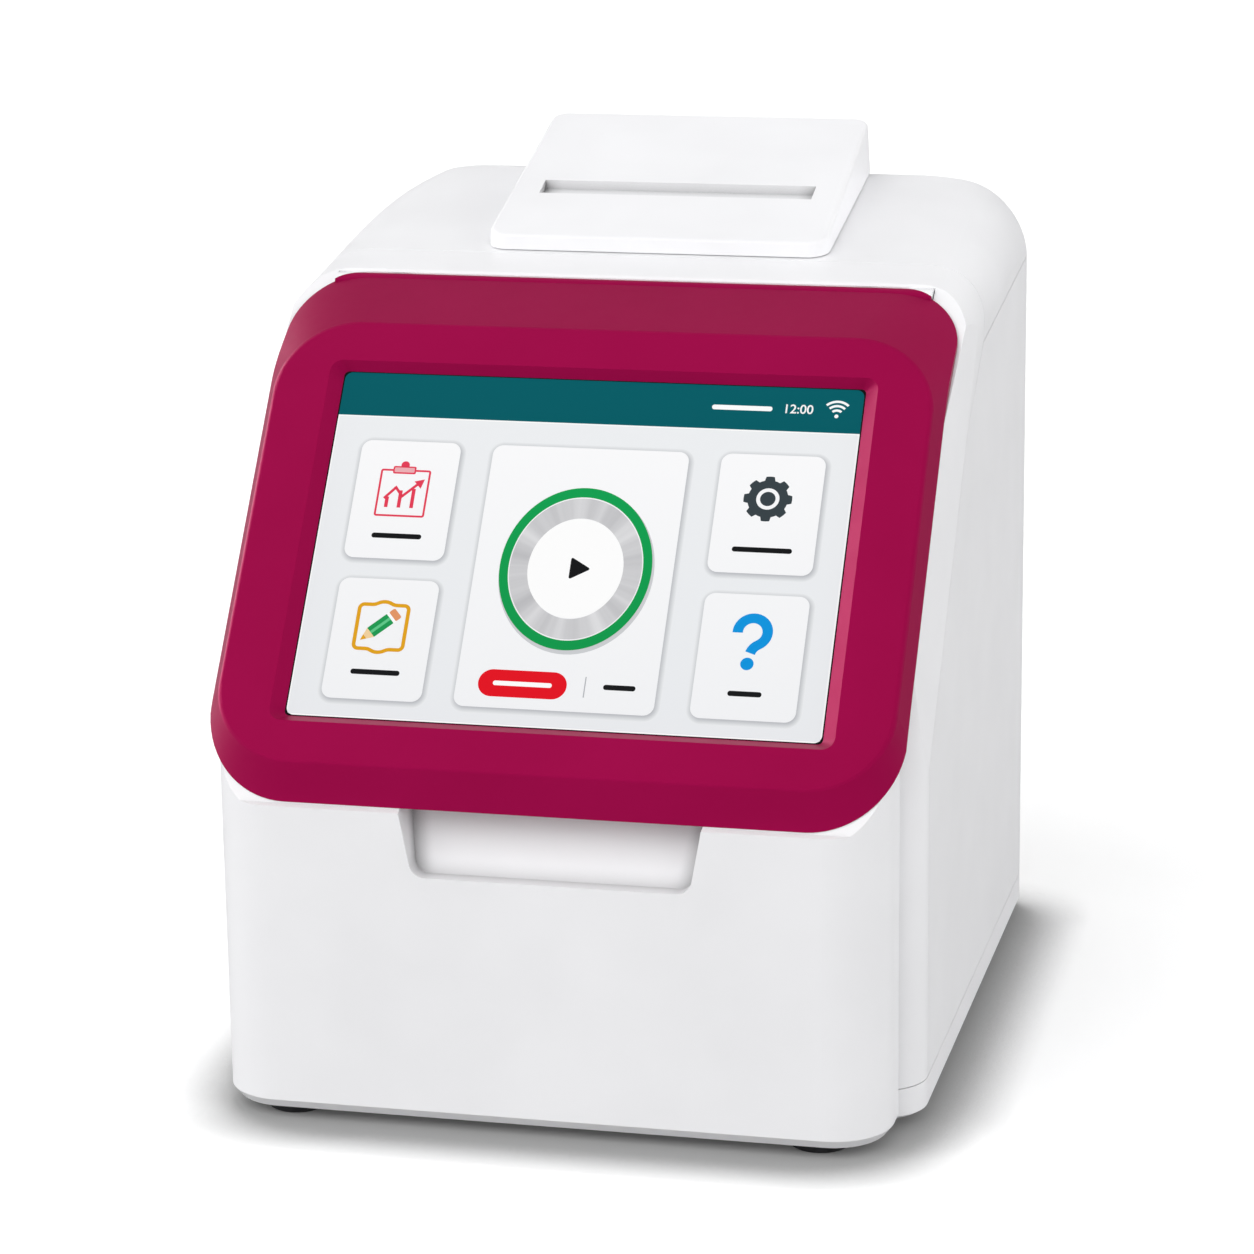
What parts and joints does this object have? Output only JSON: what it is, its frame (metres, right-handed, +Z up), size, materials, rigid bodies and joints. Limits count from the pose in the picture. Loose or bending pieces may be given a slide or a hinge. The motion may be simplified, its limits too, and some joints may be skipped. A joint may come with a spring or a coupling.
{
  "type": "benchtop chemistry analyzer",
  "caption": "Compact bench analyzer with a sloping touch-screen lid that flips up over the test chamber, a finger scoop below it and a roof-top paper printer.",
  "frame": {"origin": "on the table, under the middle of the footprint (front shell face to rear panel, side panel to side panel)", "axes": "+Z up, the front with the screen faces -Y, +X to the right of someone facing it"},
  "size_m": [0.2232, 0.25, 0.2793],
  "materials": {
    "white_shell": "satin moulded",
    "red_bezel": "gloss",
    "lid_inner": "fine texture",
    "screen_glass": "gloss",
    "display_module": "dark glass and metal frame",
    "panel_metal": "brushed",
    "board_green": "solder mask",
    "chamber_grey": "fine texture",
    "chassis_sheet": "zinc plated",
    "machined": "turned",
    "heater_film": "film",
    "disc_clear": "clear",
    "foot_rubber": "matte",
    "seal_rubber": "matte",
    "port_metal": "plated",
    "inlet_black": "matte",
    "rocker_black": "gloss",
    "fan_black": "matte",
    "paper_white": "matte",
    "core_card": "matte",
    "steel_pin": "ground",
    "fastener": "zinc plated"
  },
  "bodies": {
    "case": {"base_tray": "white_shell", "foot_front_left": "foot_rubber", "foot_front_right": "foot_rubber", "foot_rear_left": "foot_rubber", "foot_rear_right": "foot_rubber", "front_shell": "white_shell", "front_frame": "white_shell", "side_panel_left": "white_shell", "side_panel_right": "white_shell", "top_shell": "white_shell", "rear_panel": "white_shell", "chassis": "chassis_sheet", "inner_deck": "chamber_grey", "rotor_well": "machined", "well_heater": "heater_film", "spindle_motor": "panel_metal", "optics_module": "machined", "deck_posts": "steel_pin", "main_board": "board_green", "board_posts": "fastener", "port_usb_low": "port_metal", "port_usb_high": "port_metal", "port_network": "port_metal", "power_supply": "chassis_sheet", "power_inlet": "inlet_black", "fan_frame": "fan_black", "printer_well": "chamber_grey", "paper_spindle": "machined", "print_head": "panel_metal", "cover_hinge_pins": "steel_pin", "lid_hinge_pins": "steel_pin", "lid_seal": "seal_rubber", "catch_magnets": "steel_pin", "base_screws": "fastener", "rear_screws": "fastener"},
    "lid": {"lid_shell": "red_bezel", "hinge_caps": "white_shell", "lid_liner": "lid_inner", "touch_glass": "screen_glass", "display_panel": "display_module", "display_board": "board_green", "lid_screws": "fastener", "catch_plates": "steel_pin"},
    "cover": {"printer_cover": "white_shell"},
    "platen": {"platen_roller": "seal_rubber", "platen_shaft": "steel_pin"},
    "paper": {"paper_roll": "paper_white", "roll_core": "core_card"},
    "rotor": {"spindle_hub": "machined", "reagent_disc": "disc_clear"},
    "fan": {"fan_rotor": "fan_black"},
    "rocker": {"power_rocker": "rocker_black"}
  },
  "joints": [
    {"name": "lid_hinge", "type": "hinge", "parent": "case", "child": "lid", "pos_m": [0, 0.0034, 0.239], "axis": [-1, 0, 0], "range_deg": [0, 75]},
    {"name": "cover_hinge", "type": "hinge", "parent": "case", "child": "cover", "pos_m": [0, 0.1154, 0.2649], "axis": [-1, 0, 0], "range_deg": [0, 75]},
    {"name": "platen_spin", "type": "hinge", "parent": "cover", "child": "platen", "pos_m": [0.0025, 0.051, 0.2466], "axis": [1, 0, 0], "continuous": true},
    {"name": "paper_spin", "type": "hinge", "parent": "case", "child": "paper", "pos_m": [0.0025, 0.072, 0.229], "axis": [1, 0, 0], "continuous": true},
    {"name": "rotor_spin", "type": "hinge", "parent": "case", "child": "rotor", "pos_m": [0, -0.04, 0.085], "axis": [0, 0, 1], "continuous": true},
    {"name": "fan_spin", "type": "hinge", "parent": "case", "child": "fan", "pos_m": [-0.052, 0.115, 0.15], "axis": [0, 1, 0], "continuous": true},
    {"name": "rocker_tilt", "type": "hinge", "parent": "case", "child": "rocker", "pos_m": [0.062, 0.1185, 0.0625], "axis": [1, 0, 0], "range_deg": [-8, 8]}
  ],
  "couplings": [
    {"joint": "platen_spin", "follows": "paper_spin", "ratio": 4}
  ]
}
